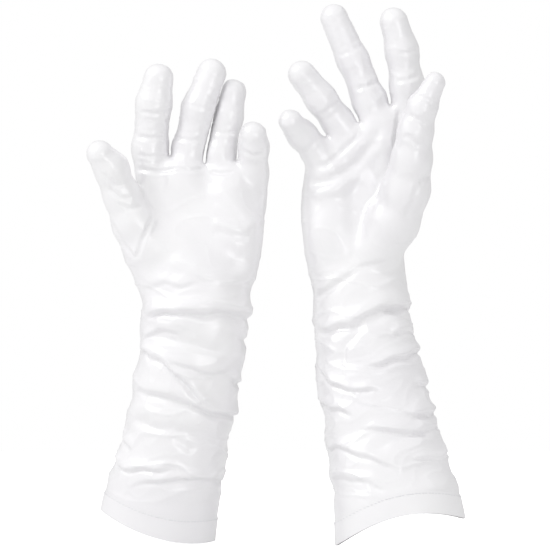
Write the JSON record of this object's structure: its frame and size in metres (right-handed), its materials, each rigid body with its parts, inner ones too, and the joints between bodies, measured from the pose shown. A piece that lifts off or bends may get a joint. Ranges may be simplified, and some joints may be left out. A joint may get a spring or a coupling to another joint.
{
  "type": "opera gloves",
  "caption": "Pair of elbow-length stretch-satin opera gloves in worn shape, palms forward, with five bending fingers on each glove.",
  "frame": {"origin": "middle of the pair's footprint, at the height of the lowest hem", "axes": "+Z from the hems to the fingertips, +Y from the palms to the backs of the hands, +X from the left glove to the right glove"},
  "size_m": [0.247, 0.0942, 0.3547],
  "materials": {
    "satin": "satin",
    "hem": "satin",
    "thread": "matte"
  },
  "bodies": {
    "left_glove": {"left_palm_panel": "satin", "left_back_panel": "satin", "left_outer_seam": "thread", "left_thumb_side_seam": "thread", "left_cuff_hem": "hem", "left_hem_stitching": "thread", "left_thumb_gusset": "satin"},
    "left_index_finger": {"left_index_front": "satin", "left_index_back": "satin", "left_index_fourchettes": "satin"},
    "left_middle_finger": {"left_middle_front": "satin", "left_middle_back": "satin", "left_middle_fourchettes": "satin"},
    "left_ring_finger": {"left_ring_front": "satin", "left_ring_back": "satin", "left_ring_fourchettes": "satin"},
    "left_little_finger": {"left_little_front": "satin", "left_little_back": "satin", "left_little_fourchettes": "satin"},
    "left_thumb": {"left_thumb_panel": "satin"},
    "right_glove": {"right_palm_panel": "satin", "right_back_panel": "satin", "right_outer_seam": "thread", "right_thumb_side_seam": "thread", "right_cuff_hem": "hem", "right_hem_stitching": "thread", "right_thumb_gusset": "satin"},
    "right_index_finger": {"right_index_front": "satin", "right_index_back": "satin", "right_index_fourchettes": "satin"},
    "right_middle_finger": {"right_middle_front": "satin", "right_middle_back": "satin", "right_middle_fourchettes": "satin"},
    "right_ring_finger": {"right_ring_front": "satin", "right_ring_back": "satin", "right_ring_fourchettes": "satin"},
    "right_little_finger": {"right_little_front": "satin", "right_little_back": "satin", "right_little_fourchettes": "satin"},
    "right_thumb": {"right_thumb_panel": "satin"}
  },
  "joints": [
    {"name": "right_glove_apart", "type": "slide", "parent": "left_glove", "child": "right_glove", "axis": [1, 0, 0], "range_m": [0, 0.15]},
    {"name": "left_index_bend", "type": "hinge", "parent": "left_glove", "child": "left_index_finger", "pos_m": [-0.08217, -0.00809, 0.25323], "axis": [0.9962, 0, -0.0872], "range_deg": [0, 65]},
    {"name": "left_middle_bend", "type": "hinge", "parent": "left_glove", "child": "left_middle_finger", "pos_m": [-0.05757, -0.00809, 0.25108], "axis": [0.9962, 0, -0.0872], "range_deg": [0, 70]},
    {"name": "left_ring_bend", "type": "hinge", "parent": "left_glove", "child": "left_ring_finger", "pos_m": [-0.03615, -0.00809, 0.2492], "axis": [0.9962, 0, -0.0872], "range_deg": [0, 70]},
    {"name": "left_little_bend", "type": "hinge", "parent": "left_glove", "child": "left_little_finger", "pos_m": [-0.01529, -0.00995, 0.24776], "axis": [0.9962, 0, -0.0872], "range_deg": [0, 30]},
    {"name": "left_thumb_bend", "type": "hinge", "parent": "left_glove", "child": "left_thumb", "pos_m": [-0.0975, -0.02698, 0.229], "axis": [0.8387, 0, 0.5446], "range_deg": [0, 40]},
    {"name": "right_index_bend", "type": "hinge", "parent": "right_glove", "child": "right_index_finger", "pos_m": [0.09221, -0.00709, 0.28855], "axis": [0.8988, 0, 0.4384], "range_deg": [0, 50]},
    {"name": "right_middle_bend", "type": "hinge", "parent": "right_glove", "child": "right_middle_finger", "pos_m": [0.07082, -0.00709, 0.27812], "axis": [0.8988, 0, 0.4384], "range_deg": [0, 70]},
    {"name": "right_ring_bend", "type": "hinge", "parent": "right_glove", "child": "right_ring_finger", "pos_m": [0.0488, -0.00709, 0.26738], "axis": [0.8988, 0, 0.4384], "range_deg": [0, 60]},
    {"name": "right_little_bend", "type": "hinge", "parent": "right_glove", "child": "right_little_finger", "pos_m": [0.02911, -0.00709, 0.25778], "axis": [0.8988, 0, 0.4384], "range_deg": [0, 38]},
    {"name": "right_thumb_bend", "type": "hinge", "parent": "right_glove", "child": "right_thumb", "pos_m": [0.08994, -0.03507, 0.25628], "axis": [0.9563, 0, -0.2924], "range_deg": [0, 40]}
  ]
}
